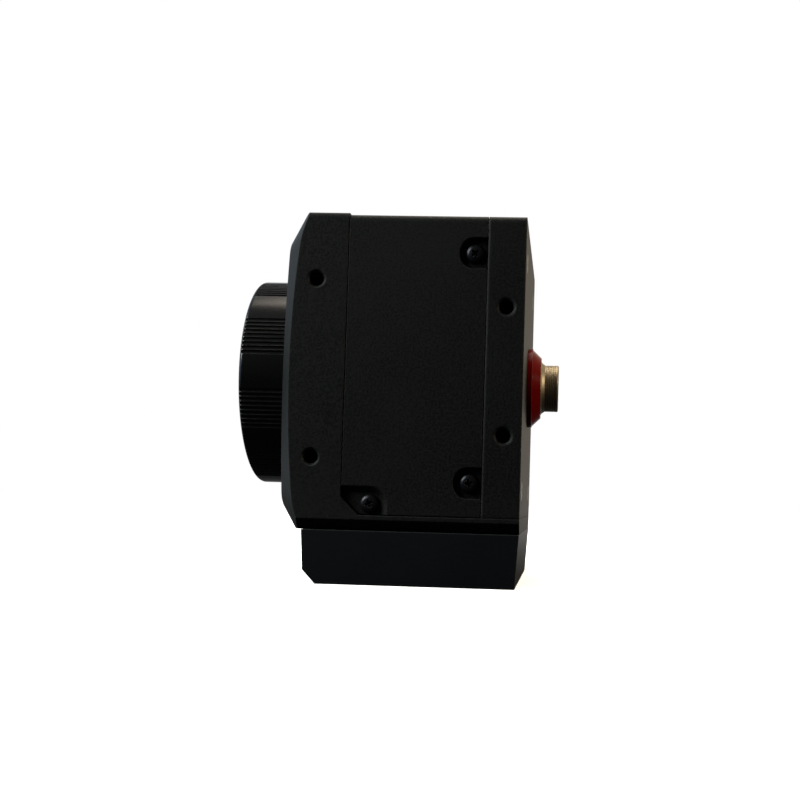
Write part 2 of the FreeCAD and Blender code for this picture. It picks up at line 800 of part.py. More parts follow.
def foot_screw_spots():
    """Returns the four places of the foot's screws."""
    return [(f"{side} * foot_screw_spread / 2", f"{way} * foot_screw_pitch / 2")
            for side in (-1, 1) for way in (-1, 1)]


def make_foot_screws():
    """Socket screws that hold the foot to the floor."""
    piece = Piece("foot_screw", ("0", "0", "foot_sink_depth"))
    tip = "foot_height + floor_thickness + floor_boss_height - foot_sink_depth - fit_gap"
    outline = piece.on("XZ")
    outline.polygon(("0", "-foot_screw_head_height"),
                    ("foot_screw_head_radius", "-foot_screw_head_height"),
                    ("foot_screw_head_radius", "0"), ("foot_screw_radius", "0"),
                    ("foot_screw_radius", tip), ("0", tip))
    outline.turn()
    piece.on("XY", "-foot_screw_head_height").hexagon("foot_screw_head_radius").cut("foot_screw_radius")
    group("foot_screws", piece, [(x, y, "0") for x, y in foot_screw_spots()])


def make_cover_screws():
    """Pan-head screws, three a side."""
    piece = Piece("cover_screw", ("pocket_floor", "front_y", "0"))
    outline = piece.on("XY")
    outline.polygon(("-screw_length", "0"), ("screw_head_height", "0"),
                    ("screw_head_height", "screw_head_radius * 0.7"),
                    ("screw_head_height * 0.6", "screw_head_radius"), ("0", "screw_head_radius"),
                    ("0", "screw_radius"), ("-screw_length", "screw_radius"))
    outline.turn("H_Axis")
    spots = [("0", depth, height) for depth, height in cover_screw_spots()]
    group("cover_screws", piece, spots, both_sides=True)


def make_lens_mount():
    """The threaded ring that a lens screws into, and its four countersunk screws."""
    ring = turned("lens_mount_ring",
                  [("mount_thread_radius", "mount_face + edge_round / 2"),
                   ("mount_thread_radius + edge_round / 2", "mount_face"),
                   ("mount_boss_radius", "mount_face"),
                   ("mount_boss_radius", "0"), ("mount_flange_radius", "0"),
                   ("mount_flange_radius", "mount_flange_thickness"),
                   ("mount_thread_radius", "mount_flange_thickness")])
    holes = ring.on("XZ")
    for x, _, z in four_corners("mount_screw_x", "mount_screw_x"):
        holes.circle("stud_hole_radius", x, z)
    holes.drill("stud_hole_radius", "mount_screw_head_radius + fit_gap", toward=1)
    ring.node()
    screw = countersunk_screw("mount_screw", "mount_screw_head_radius", "mount_screw_length")
    group("mount_screws", screw, four_corners("mount_screw_x", "mount_screw_x"))


def countersunk_screw(name, head, length, face="0", way=1):
    """Returns a countersunk screw with its head flush at a face and its shank running inwards."""
    neck = f"({face}) + {way} * (({head}) - stud_radius)"
    tip = f"({face}) + {way} * ({length})"
    return turned(name, [("0", face), (head, face), ("stud_radius", neck), ("stud_radius", tip), ("0", tip)])


def make_dust_cap():
    """The push-on cap, with nine groups of grip ribs round its skirt."""
    cap = turned("dust_cap",
                 [("0", "-cap_proud"), ("cap_radius", "-cap_proud", "cap_rim_round"),
                  ("cap_radius", "-cap_gap"), ("cap_bore", "-cap_gap"),
                  ("cap_bore", "cap_end_wall - cap_proud"), ("0", "cap_end_wall - cap_proud")])
    grooves = cap.on("XZ", "-cap_proud")
    count = round(number("cap_grooves"))
    outline = [("cap_radius - groove_depth", "-groove_floor / 2"),
               ("cap_radius - groove_depth", "groove_floor / 2"),
               ("cap_radius + groove_depth", "groove_mouth"), ("cap_radius + groove_depth", "-groove_mouth")]
    for index in range(count):
        angle = f"(group_turn + groove_pitch * ({index} - (cap_grooves - 1) / 2))"
        grooves.polygon(*[(f"({reach}) * cos({angle}) - ({side}) * sin({angle})",
                           f"({reach}) * sin({angle}) + ({side}) * cos({angle})") for reach, side in outline])
    cap.repeat(grooves.cut(), grooves.sketch, "cap_groups")
    cap.node()


def make_optics():
    """The filter, its retainer, and the sensor with its window and gasket."""
    turned("filter_glass", [("0", "filter_front"), ("filter_radius", "filter_front"),
                            ("filter_radius", "filter_back"), ("0", "filter_back")]).node()
    turned("filter_retainer", tube("filter_radius - retainer_width", "filter_radius",
                                   "mount_flange_thickness", "filter_front")).node()
    gasket = Piece("sensor_gasket")
    frame = gasket.on("XZ", "front_wall")
    frame.rectangle("package_size / 2", "-package_size / 2", "package_size / 2")
    half = "window_size / 2 + window_gap"
    frame.rectangle(half, f"-({half})", half)
    frame.add("package_front - front_wall")
    gasket.node()
    half = "window_size / 2"
    block("sensor_window", "window_size", "window_front", "package_front", f"-{half}", half)
    package = Piece("image_sensor")
    package.on("XZ", "package_front").rectangle("package_size / 2", "-package_size / 2",
                                                "package_size / 2").add("package_thickness")
    well = "die_size / 2 + die_margin"
    package.on("XZ", "package_front").rectangle(well, f"-({well})", well).cut("die_back - package_front")
    package.node()
    block("sensor_die", "die_size", "sensor_plane", "die_back", "-die_size / 2", "die_size / 2")


def make_board(name, front):
    """A circuit board with a hole for each column."""
    piece = Piece(name)
    outline = piece.on("XZ", front)
    outline.rectangle("board_width / 2", "-board_height / 2", "board_height / 2", "board_round")
    for x, _, z in four_corners("column_x", "column_z"):
        outline.circle("board_hole_radius", x, z)
    outline.add("board_thickness")
    piece.node()


def make_columns(name, start, length, radius, hole_depth):
    """Four hexagonal columns, each with a stud through the board in front of it."""
    piece = Piece(name + "_one")
    piece.on("XZ", start).hexagon(f"2 * {radius}").add(length)
    stud = piece.on("XZ", f"{start} - board_thickness - stud_reach").circle("stud_radius")
    stud.add("board_thickness + stud_reach")
    piece.on("XZ", f"{start} + ({length})").circle("stud_hole_radius").cut(hole_depth, toward=-1)
    group(name, piece, four_corners("column_x", "column_z"))


def make_cooling():
    """What carries the heat of the sensor and the processor to the housing."""
    pad_back = "(sensor_board_back + pad_thickness)"
    block("sensor_thermal_pad", "pad_size", "sensor_board_back", pad_back, "-pad_size / 2", "pad_size / 2")
    block("heat_spreader", "2 * cavity_half", pad_back, f"{pad_back} + spreader_thickness",
          "-spreader_height / 2", "spreader_height / 2")
    half = "chip_size / 2"
    block("processor_chip", "chip_size", "processor_back", "chip_back", f"-{half}", half)
    block("chip_thermal_pad", "chip_size", "chip_back", "block_front", f"-{half}", half)
    bracket = Piece("heat_block")
    top = "inner_top - axis_height"
    side = bracket.on("YZ", "-heat_block_width / 2")
    side.polygon(("block_front", "-heat_block_width / 2"),
                 ("block_front + heat_block_thickness", "-heat_block_width / 2"),
                 ("block_front + heat_block_thickness", f"{top} - heat_block_top"),
                 ("block_front + heat_block_foot", f"{top} - heat_block_top"),
                 ("block_front + heat_block_foot", top), ("block_front", top))
    side.add("heat_block_width")
    bracket.node()


def make_small_parts():
    """Chips, coils, capacitors and links on the boards."""
    chip = Piece("memory_chip")
    chip.on("XZ", "processor_back").rectangle("memory_width / 2", "-memory_height / 2",
                                              "memory_height / 2").add("memory_thickness")
    group("memory_chips", chip, four_corners("memory_x", "memory_rise / 2"))
    coil = Piece("power_coil")
    coil.on("XZ", "power_back").rectangle("coil_size / 2", "-coil_size / 2", "coil_size / 2",
                                          "edge_round").add("coil_height")
    spots = [(f"{step} * coil_pitch", "0", "-coil_drop") for step in (-1.5, -0.5, 0.5, 1.5)]
    group("power_coils", coil, spots)
    can = turned("capacitor", [("0", "power_back"), ("capacitor_radius", "power_back"),
                               ("capacitor_radius", "power_back + capacitor_height"),
                               ("0", "power_back + capacitor_height")])
    group("capacitors", can, [(f"{side} * capacitor_x", "0", "capacitor_z") for side in (-1, 1)])
    low, high = "link_z - link_height / 2", "link_z + link_height / 2"
    block("sensor_link", "link_width", "sensor_board_back", "processor_front", low, high)
    block("power_link", "link_width", "processor_back", "power_front", low, high)
    half = "connector_link_height / 2"
    block("connector_link", "connector_link_width", "power_back", "connector_board_front", f"-{half}", half)


def make_connector():
    """The round connector in the rear wall, from its red ring to the board behind it."""
    bore = "shank_radius + fit_gap"
    turned("connector_ring",
           [(bore, "body_length"), ("ring_radius", "body_length"), ("ring_radius", "body_length + ring_base"),
            ("ring_shoulder_radius", "body_length + ring_base"),
            ("ring_tip_radius", "body_length + ring_height"),
            (bore, "body_length + ring_height")]).node()
    turned("connector_shell",
           [("socket_radius", "insert_front"), ("shank_radius", "insert_front"),
            ("shank_radius", "body_length + ring_height"),
            ("shell_radius + shell_flare", "body_length + ring_height"),
            ("shell_radius", "body_length + ring_height + shell_flare_length"),
            ("shell_radius", "shell_end - shell_chamfer"), ("shell_radius - shell_chamfer", "shell_end"),
            ("socket_radius", "shell_end")]).node()
    insert = turned("connector_insert",
                    [("0", "insert_front"), ("socket_radius - fit_gap / 2", "insert_front"),
                     ("socket_radius - fit_gap / 2", "socket_floor"), ("0", "socket_floor")])
    spots = [("pin_circle", "0"), ("-pin_circle", "0"), ("0", "pin_circle"), ("0", "-pin_circle")]
    holes = insert.on("XZ", "insert_front")
    for x, z in spots:
        holes.circle("pin_radius + fit_gap / 2", x, z)
    holes.cut("insert_length")
    insert.node()
    pin = turned("connector_pin",
                 [("0", "pin_start"), ("pin_radius", "pin_start"),
                  ("pin_radius", "socket_floor + pin_proud - pin_radius / 2"),
                  ("pin_radius / 2", "socket_floor + pin_proud"), ("0", "socket_floor + pin_proud")])
    group("connector_pins", pin, [(x, "0", z) for x, z in spots])
    nut = Piece("connector_nut")
    outline = nut.on("XZ", "rear_inner - nut_thickness").hexagon("nut_flats")
    outline.circle(bore).add("nut_thickness")
    nut.node()
    turned("connector_board",
           [("0", "connector_board_front"), ("connector_board_radius", "connector_board_front"),
            ("connector_board_radius", "pin_start"), ("0", "pin_start")]).node()


def write_parts():
    """Checks every object and writes one file for each node."""
    for thing in doc.Objects:
        check(thing)
    os.makedirs("parts", exist_ok=True)
    for node in nodes:
        shape = node.Shape
        if shape.isNull() or not shape.isValid():
            raise RuntimeError(f"{node.Label} has no valid shape")
        shape.exportStep(f"parts/{node.Label}.step")
        print(f"{node.Label}: {len(shape.Solids)} solid(s), {shape.Volume:.1f} mm3")


fill_sheet()
make_front_housing()
make_cover()
make_rear_housing()
make_foot()
make_foot_screws()
make_cover_screws()
make_lens_mount()
make_dust_cap()
make_optics()
make_board("sensor_board", "package_back")
make_columns("front_standoffs", "sensor_board_back", "front_column", "column_radius", "stud_reach + 1")
make_board("processor_board", "processor_front")
make_columns("middle_standoffs", "processor_back", "middle_column", "column_radius", "stud_reach + 1")
make_board("power_board", "power_front")
make_columns("tie_pillars", "power_back", "rear_inner - power_back", "pillar_radius", "rear_screw_length")
make_cooling()
make_small_parts()
make_connector()
rear_screw = countersunk_screw("rear_screw", "rear_screw_head_radius", "rear_screw_length",
                               "body_length", way=-1)
group("rear_screws", rear_screw, four_corners("column_x", "column_z"))
write_parts()
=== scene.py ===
"""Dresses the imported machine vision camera: finishes, screws, threads, stage, lamps and the viewpoint."""

import logging
import math
from dataclasses import dataclass, field, replace
from enum import Enum
from typing import Any

import bmesh
import bpy
from mathutils import Matrix, Vector

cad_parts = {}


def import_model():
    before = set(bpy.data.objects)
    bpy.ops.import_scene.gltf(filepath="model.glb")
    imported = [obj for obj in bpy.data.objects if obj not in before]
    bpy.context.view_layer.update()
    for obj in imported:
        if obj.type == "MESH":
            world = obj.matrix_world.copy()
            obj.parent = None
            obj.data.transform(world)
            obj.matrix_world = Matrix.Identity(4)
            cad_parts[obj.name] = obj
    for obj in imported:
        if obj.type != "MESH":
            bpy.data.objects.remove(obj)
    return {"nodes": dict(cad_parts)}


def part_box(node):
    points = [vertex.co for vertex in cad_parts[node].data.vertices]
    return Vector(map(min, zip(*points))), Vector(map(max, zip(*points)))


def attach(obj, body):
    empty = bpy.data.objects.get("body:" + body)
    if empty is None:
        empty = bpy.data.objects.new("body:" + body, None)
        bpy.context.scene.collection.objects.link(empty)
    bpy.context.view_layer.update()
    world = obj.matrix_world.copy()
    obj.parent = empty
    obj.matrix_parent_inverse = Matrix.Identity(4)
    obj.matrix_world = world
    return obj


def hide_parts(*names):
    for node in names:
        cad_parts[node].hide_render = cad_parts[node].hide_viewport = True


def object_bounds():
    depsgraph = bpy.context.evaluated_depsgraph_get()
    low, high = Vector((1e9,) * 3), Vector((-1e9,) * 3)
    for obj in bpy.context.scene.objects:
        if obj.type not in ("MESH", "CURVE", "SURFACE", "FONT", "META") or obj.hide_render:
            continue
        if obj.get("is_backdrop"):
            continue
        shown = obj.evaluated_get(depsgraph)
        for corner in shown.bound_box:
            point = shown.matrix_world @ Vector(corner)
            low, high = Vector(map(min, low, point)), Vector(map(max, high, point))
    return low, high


LOG = logging.getLogger("camera")
MM = 0.001


class Axis(Enum):
    """The way that a turned piece points."""

    FRONT = (0.0, -1.0, 0.0)
    REAR = (0.0, 1.0, 0.0)
    RIGHT = (1.0, 0.0, 0.0)
    LEFT = (-1.0, 0.0, 0.0)
    DOWN = (0.0, 0.0, -1.0)


def linear(hex_colour: str) -> tuple[float, float, float, float]:
    """Turns an sRGB hex colour to the linear values that shaders take.

    Args:
        hex_colour: Six hex digits after a hash.

    Returns:
        Red, green, blue and an alpha of one.
    """
    parts = [int(hex_colour[i:i + 2], 16) / 255 for i in (1, 3, 5)]
    r, g, b = [p / 12.92 if p <= 0.04045 else ((p + 0.055) / 1.055) ** 2.4 for p in parts]
    return r, g, b, 1.0


def per_metre(size_mm: float) -> float:
    """Returns the texture scale that gives a pattern features of a size in millimetres."""
    return 1.0 / (size_mm * MM)


def add_node(tree: bpy.types.NodeTree, kind: str, inputs: dict[str | int, Any] | None = None,
             **settings: Any) -> bpy.types.Node:
    """Adds a node with its settings, values and links.

    Args:
        tree: The node tree that the node goes into.
        kind: The node's type name.
        inputs: Input names or indexes, each with a value or another node's output.
        settings: Properties of the node itself.

    Returns:
        The new node.
    """
    node = tree.nodes.new(kind)
    for name, value in settings.items():
        setattr(node, name, value)
    for name, value in (inputs or {}).items():
        if isinstance(value, bpy.types.NodeSocket):
            tree.links.new(value, node.inputs[name])
        else:
            node.inputs[name].default_value = value
    return node


def fade(tree: bpy.types.NodeTree, value: bpy.types.NodeSocket, span: tuple[float, float],
         result: tuple[float, float]) -> bpy.types.NodeSocket:
    """Spreads a value's span over a result's span, held at both ends.

    Args:
        tree: The node tree.
        value: The output to read.
        span: The low and high of what is read.
        result: What the low and the high become.

    Returns:
        The output that carries the result.
    """
    keys = {"Value": value, "From Min": span[0], "From Max": span[1],
            "To Min": result[0], "To Max": result[1]}
    return add_node(tree, "ShaderNodeMapRange", keys, clamp=True).outputs[0]


def blend(tree: bpy.types.NodeTree, share: Any, first: Any, second: Any) -> bpy.types.NodeSocket:
    """Mixes two colours.

    Args:
        tree: The node tree.
        share: How much of the second colour is used.
        first: The colour, or the output that gives it, at a share of none.
        second: The colour, or the output that gives it, at a full share.

    Returns:
        The output that carries the mixed colour.
    """
    return add_node(tree, "ShaderNodeMix", {0: share, 6: first, 7: second}, data_type="RGBA").outputs[2]


@dataclass(frozen=True)
class Finish:
    """What every finish shares: a name, an edge that light catches, and a fine relief."""

    name: str
    colour: str = "#808080"
    pale: str = "#8a8a8a"
    roughness: float = 0.5
    metallic: float = 0.0
    specular: float = 0.5
    edge_mm: float = 0.2
    edge_rub: float = 0.25
    grain_mm: float = 0.3
    relief_mm: float = 0.01
    cloud_mm: float = 20.0
    mottle: float = 0.4

    def make(self) -> bpy.types.Material:
        """Builds the material.

        Returns:
            The finished material.
        """
        material = bpy.data.materials.new(self.name)
        material.use_nodes = True
        tree = material.node_tree
        tree.nodes.clear()
        surface = self.wire(tree)
        add_node(tree, "ShaderNodeOutputMaterial", {"Surface": surface})
        return material

    def wire(self, tree: bpy.types.NodeTree) -> bpy.types.NodeSocket:
        """Wires the surface of the material.

        Args:
            tree: The material's node tree.

        Returns:
            The shader's output.
        """
        place = add_node(tree, "ShaderNodeTexCoord").outputs["Object"]
        grain = self.grain(tree, place)
        edge = add_node(tree, "ShaderNodeBevel", {"Radius": self.edge_mm * MM}, samples=6).outputs[0]
        relief = add_node(tree, "ShaderNodeBump", {"Strength": 1.0, "Distance": self.relief_mm * MM,
                                                   "Height": grain, "Normal": edge}).outputs[0]
        keys = {"Base Color": self.tint(tree, place, grain, edge), "Metallic": self.metallic,
                "Roughness": fade(tree, grain, (0.2, 0.8), (self.roughness * 0.88, self.roughness * 1.12)),
                "Specular IOR Level": self.specular, "Normal": relief}
        return add_node(tree, "ShaderNodeBsdfPrincipled", keys).outputs[0]

    def grain(self, tree: bpy.types.NodeTree, place: bpy.types.NodeSocket) -> bpy.types.NodeSocket:
        """Gives the fine relief, an even grain unless a finish has its own."""
        keys = {"Vector": place, "Scale": per_metre(self.grain_mm), "Detail": 2.0, "Roughness": 0.6}
        return add_node(tree, "ShaderNodeTexNoise", keys).outputs[0]

    def tint(self, tree: bpy.types.NodeTree, place: bpy.types.NodeSocket, grain: bpy.types.NodeSocket,
             edge: bpy.types.NodeSocket) -> bpy.types.NodeSocket:
        """Gives the colour: clouds of the two tints, a trace of the grain, and rubbed edges.

        Args:
            tree: The material's node tree.
            place: The surface's place on the object.
            grain: The fine relief.
            edge: The normal that is rounded at the edges.

        Returns:
            The output that carries the colour.
        """
        cloud = add_node(tree, "ShaderNodeTexNoise", {"Vector": place, "Scale": per_metre(self.cloud_mm),
                                                      "Detail": 3.0}).outputs[0]
        mixed = add_node(tree, "ShaderNodeMath", {0: fade(tree, cloud, (0.3, 0.7), (0.0, 0.6)),
                                                  1: fade(tree, grain, (0.4, 0.6), (0.0, self.mottle))},
                         operation="ADD").outputs[0]
        body = blend(tree, mixed, linear(self.colour), linear(self.pale))
        flat = add_node(tree, "ShaderNodeNewGeometry").outputs["Normal"]
        turn = add_node(tree, "ShaderNodeVectorMath", {0: edge, 1: flat}, operation="DOT_PRODUCT").outputs[1]
        rub = fade(tree, turn, (0.995, 0.85), (0.0, self.edge_rub))
        return blend(tree, rub, body, linear(lighter(self.pale)))


def lighter(hex_colour: str, share: float = 0.25) -> str:
    """Returns an sRGB hex colour moved towards white by a share."""
    parts = [int(hex_colour[i:i + 2], 16) for i in (1, 3, 5)]
    return "#" + "".join(f"{round(p + (255 - p) * share):02x}" for p in parts)


@dataclass(frozen=True)
class PowderCoat(Finish):
    """Fine-textured black polyester powder, baked on die-cast metal: an even orange peel with some dust."""

    dust: str = "#8d8f8a"
    dust_pitch_mm: float = 3.5
    dust_size: float = 0.035

    def tint(self, tree: bpy.types.NodeTree, place: bpy.types.NodeSocket, grain: bpy.types.NodeSocket,
             edge: bpy.types.NodeSocket) -> bpy.types.NodeSocket:
        """Gives the coat's colour with specks of dust that lie on it here and there."""
        body = super().tint(tree, place, grain, edge)
        spots = add_node(tree, "ShaderNodeTexVoronoi",
                         {"Vector": place, "Scale": per_metre(self.dust_pitch_mm)})
        near = fade(tree, spots.outputs["Distance"], (self.dust_size, self.dust_size * 0.5), (0.0, 1.0))
        pick = add_node(tree, "ShaderNodeSeparateColor", {"Color": spots.outputs["Color"]}).outputs[0]
        few = fade(tree, pick, (0.72, 0.78), (0.0, 0.6))
        speck = add_node(tree, "ShaderNodeMath", {0: near, 1: few}, operation="MULTIPLY").outputs[0]
        return blend(tree, speck, body, linear(self.dust))


@dataclass(frozen=True)
class TurnedMetal(Finish):
    """Metal turned about the lens axis, with the fine rings that the tool leaves."""

    axis_height: float = 0.0
    ring_mm: float = 0.25

    def grain(self, tree: bpy.types.NodeTree, place: bpy.types.NodeSocket) -> bpy.types.NodeSocket:
        """Gives the tool's rings, measured as distance from the axis and along it."""
        split = add_node(tree, "ShaderNodeSeparateXYZ", {"Vector": place}).outputs
        rise = add_node(tree, "ShaderNodeMath", {0: split[2], 1: self.axis_height},
                        operation="SUBTRACT").outputs[0]
        flat = add_node(tree, "ShaderNodeCombineXYZ", {0: split[0], 1: rise}).outputs[0]
        reach = add_node(tree, "ShaderNodeVectorMath", {0: flat}, operation="LENGTH").outputs[1]
        both = add_node(tree, "ShaderNodeCombineXYZ", {0: reach, 1: split[1]}).outputs[0]
        return add_node(tree, "ShaderNodeTexNoise", {"Vector": both, "Scale": per_metre(self.ring_mm),
                                                     "Detail": 2.0}, noise_dimensions="2D").outputs[0]


@dataclass(frozen=True)
class CircuitBoard(Finish):
    """Glass-fibre laminate under green solder mask, with tracks that show as paler lines below it."""

    track_mm: float = 1.1
    track: str = "#1f6b3c"

    def tint(self, tree: bpy.types.NodeTree, place: bpy.types.NodeSocket, grain: bpy.types.NodeSocket,
             edge: bpy.types.NodeSocket) -> bpy.types.NodeSocket:
        """Gives the mask's green with tracks that run straight and turn at steps."""
        body = super().tint(tree, place, grain, edge)
        turned = add_node(tree, "ShaderNodeMapping",
                          {"Vector": place, "Rotation": (math.pi / 2, 0.0, 0.0)}).outputs[0]
        keys = {"Vector": turned, "Scale": per_metre(self.track_mm * 4), "Mortar Size": 0.035,
                "Brick Width": 0.8, "Row Height": 0.35}
        lines = add_node(tree, "ShaderNodeTexBrick", keys, offset=0.37, squash=0.6).outputs["Fac"]
        return blend(tree, fade(tree, lines, (0.3, 0.7), (0.0, 0.8)), body, linear(self.track))


@dataclass(frozen=True)
class Glass(Finish):
    """Polished filter glass with a thin coating that tints what it reflects."""

    clear: float = 0.35

    def wire(self, tree: bpy.types.NodeTree) -> bpy.types.NodeSocket:
        """Wires clear glass with a faint unevenness in its coating."""
        place = add_node(tree, "ShaderNodeTexCoord").outputs["Object"]
        cloud = add_node(tree, "ShaderNodeTexNoise",
                         {"Vector": place, "Scale": per_metre(self.cloud_mm)}).outputs[0]
        colour = blend(tree, cloud, linear(self.colour), linear(self.pale))
        keys = {"Base Color": colour, "Roughness": self.roughness, "Transmission Weight": 1.0, "IOR": 1.5,
                "Alpha": self.clear, "Specular IOR Level": self.specular}
        return add_node(tree, "ShaderNodeBsdfPrincipled", keys).outputs[0]


@dataclass
class Shop:
    """Makes each finish once and puts it on nodes and pieces."""

    nodes: dict[str, bpy.types.Object]
    made: dict[str, bpy.types.Material] = field(default_factory=dict)

    def paint(self, piece: bpy.types.Object, finish: Finish) -> None:
        """Puts a finish in every material slot of an object.

        Args:
            piece: The object to paint.
            finish: The finish to put on it.
        """
        if finish.name not in self.made:
            self.made[finish.name] = finish.make()
        if not piece.material_slots:
            piece.data.materials.append(None)
        for slot in piece.material_slots:
            slot.material = self.made[finish.name]

    def paint_nodes(self, finish: Finish, *names: str) -> None:
        """Puts a finish on CAD nodes and reports each."""
        for name in names:
            self.paint(self.nodes[name], finish)
            LOG.info("%s: %s", name, finish.name)


def make_piece(name: str, mesh: bmesh.types.BMesh, body: str) -> bpy.types.Object:
    """Turns a bmesh into a piece that rides on a body.

    Args:
        name: The piece's name.
        mesh: The finished bmesh, which is freed.
        body: The CAD body that the piece moves with.

    Returns:
        The new object.
    """
    data = bpy.data.meshes.new(name)
    mesh.to_mesh(data)
    mesh.free()
    piece = bpy.data.objects.new(name, data)
    bpy.context.scene.collection.objects.link(piece)
    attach(piece, body)
    LOG.info("%s: %d faces", name, len(data.polygons))
    return piece


def spin_outline(outline: list[tuple[float, float]], steps: int) -> bmesh.types.BMesh:
    """Turns an outline of (radius, height) about the upright axis.

    Args:
        outline: The corners of the outline, from axis to axis or all round.
        steps: How many faces make a full turn.

    Returns:
        A closed bmesh with faces that point outwards.
    """
    mesh = bmesh.new()
    corners = [mesh.verts.new((radius, 0.0, height)) for radius, height in outline]
    for first, second in zip(corners, corners[1:]):
        mesh.edges.new((first, second))
    bmesh.ops.spin(mesh, geom=mesh.verts[:] + mesh.edges[:], cent=(0, 0, 0), axis=(0, 0, 1),
                   angle=2 * math.pi, steps=steps, use_merge=True, use_duplicate=False)
    bmesh.ops.remove_doubles(mesh, verts=mesh.verts, dist=1e-6)
    bmesh.ops.recalc_face_normals(mesh, faces=mesh.faces)
    return mesh


def aim(axis: Axis, place: Vector, turn: float = 0.0) -> Matrix:
    """Returns the matrix that stands a piece made along +Z at a place and points it.

    Args:
        axis: The way it points.
        place: Where its origin goes.
        turn: How far it is turned about itself, in degrees.

    Returns:
        The placing matrix.
    """
    point = Vector(axis.value).to_track_quat("Z", "Y").to_matrix().to_4x4()
    return Matrix.Translation(place) @ point @ Matrix.Rotation(math.radians(turn), 4, "Z")


def cut_away(base: bmesh.types.BMesh, tool: bmesh.types.BMesh) -> bmesh.types.BMesh:
    """Cuts one closed mesh out of another.

    Args:
        base: What is cut, which is freed.
        tool: What is taken away, which is freed.

    Returns:
        The mesh that is left.
    """
    things = []
    for name, mesh in (("cut_base", base), ("cut_tool", tool)):
        data = bpy.data.meshes.new(name)
        mesh.to_mesh(data)
        mesh.free()
        things.append(bpy.data.objects.new(name, data))
        bpy.context.scene.collection.objects.link(things[-1])
    modifier = things[0].modifiers.new("cut", "BOOLEAN")
    modifier.operation = "DIFFERENCE"
    modifier.solver = "EXACT"
    modifier.object = things[1]
    bpy.context.view_layer.update()
    left = bmesh.new()
    left.from_object(things[0], bpy.context.evaluated_depsgraph_get())
    for thing in things:
        data = thing.data
        bpy.data.objects.remove(thing)
        bpy.data.meshes.remove(data)
    return left


@dataclass
class CrossScrews:
    """Screws with a cross recess, pan-headed or countersunk, all of one node."""

    node: str
    axis_spots: list[tuple[Axis, Vector, float]]
    head_radius: float
    head_height: float
    shank_radius: float
    length: float
    domed: bool
    recess_radius: float = 0.62
    recess_width: float = 0.2
    recess_depth: float = 0.5
    recess_taper: float = 0.35

    def outline(self) -> list[tuple[float, float]]:
        """Returns the screw's outline, with its head's bearing face or top at height nought."""
        reach, rise = self.head_radius, self.head_height
        if self.domed:
            head = [(0.0, rise), (reach * 0.35, rise * 0.98), (reach * 0.62, rise * 0.88),
                    (reach * 0.83, rise * 0.68), (reach * 0.96, rise * 0.38), (reach, rise * 0.1),
                    (reach, 0.0)]
            return head + [(self.shank_radius, 0.0), (self.shank_radius, -self.length), (0.0, -self.length)]
        neck = self.head_radius - self.shank_radius
        return [(0.0, 0.0), (reach - 0.05 * MM, 0.0), (reach, -0.05 * MM), (self.shank_radius, -neck),
                (self.shank_radius, -self.length), (0.0, -self.length)]

    def bar(self, turn: float) -> bmesh.types.BMesh:
        """Returns one tapered bar of the cross that the driver fits, turned by so many degrees."""
        tool = bmesh.new()
        top = self.head_height if self.domed else 0.0
        depth = self.head_radius * self.recess_depth
        size = Matrix.Diagonal((2 * self.head_radius * self.recess_radius,
                                2 * self.head_radius * self.recess_width, 2 * depth, 1.0))
        spin = Matrix.Rotation(math.radians(turn), 4, "Z")
        bmesh.ops.create_cube(tool, size=1.0, matrix=spin @ Matrix.Translation((0, 0, top)) @ size)
        for vert in tool.verts:
            if vert.co.z < top:
                vert.co.x *= self.recess_taper
                vert.co.y *= self.recess_taper
        return tool

    def build(self, body: str) -> bpy.types.Object:
        """Builds every screw as one piece that replaces the node."""
        whole = bmesh.new()
        for axis, spot, turn in self.axis_spots:
            one = cut_away(cut_away(spin_outline(self.outline(), 40), self.bar(0.0)), self.bar(90.0))
            one.transform(aim(axis, spot, turn))
            data = bpy.data.meshes.new("screw")
            one.to_mesh(data)
            one.free()
            whole.from_mesh(data)
            bpy.data.meshes.remove(data)
        piece = make_piece(self.node + "_cross", whole, body)
        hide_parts(self.node)
        return piece


@dataclass
class ThreadedCollar:
    """The connector's collar, with fine turned rings in its wall where the cable's nut goes."""

    node: str = "connector_shell"
    bore: float = 4.8 * MM
    shank: float = 5.7 * MM
    crest: float = 6.0 * MM
    flare_length: float = 1.0 * MM
    pitch: float = 0.45 * MM
    thread_depth: float = 0.05 * MM
    lead: float = 0.35 * MM

    def outline(self, start: float, root: float, end: float, flare: float) -> list[tuple[float, float]]:
        """Returns the wall's outline, once round, with its row of turned grooves.

        Args:
            start: Where the shank begins, along the axis.
            root: Where the flare begins.
            end: Where the collar ends.
            flare: The flare's radius.

        Returns:
            The corners, the last the same as the first.
        """
        first = root + self.flare_length
        turns = int((end - self.lead - first) / self.pitch)
        points = [(self.bore, start), (self.shank, start), (self.shank, root), (flare, root),
                  (flare - 0.5 * (flare - self.crest), root + 0.35 * self.flare_length)]
        for turn in range(turns):
            place = first + turn * self.pitch
            points.append((self.crest, place))
            points.append((self.crest - self.thread_depth, place + self.pitch / 2))
        points += [(self.crest, first + turns * self.pitch), (self.crest, end - self.lead),
                   (self.crest - 0.3 * self.lead, end - 0.3 * self.lead), (self.crest - self.lead, end),
                   (self.bore, end), (self.bore, start)]
        return points

    def build(self, body: str) -> bpy.types.Object:
        """Builds the collar round the connector's axis and lets it replace the node."""
        low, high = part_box(self.node)
        middle = (low + high) / 2
        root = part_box("connector_ring")[1].y
        corners = self.outline(low.y, root, high.y, (high.x - low.x) / 2)
        mesh = spin_outline(corners, 72)
        mesh.transform(aim(Axis.REAR, Vector((middle.x, 0.0, middle.z))))
        piece = make_piece(self.node + "_threaded", mesh, body)
        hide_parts(self.node)
        return piece


@dataclass(frozen=True)
class Lamp:
    """A square soft lamp: its place and sides in metres, and its face's level, where one is white."""

    name: str
    place: tuple[float, float, float]
    size: float
    level: float
    colour: str


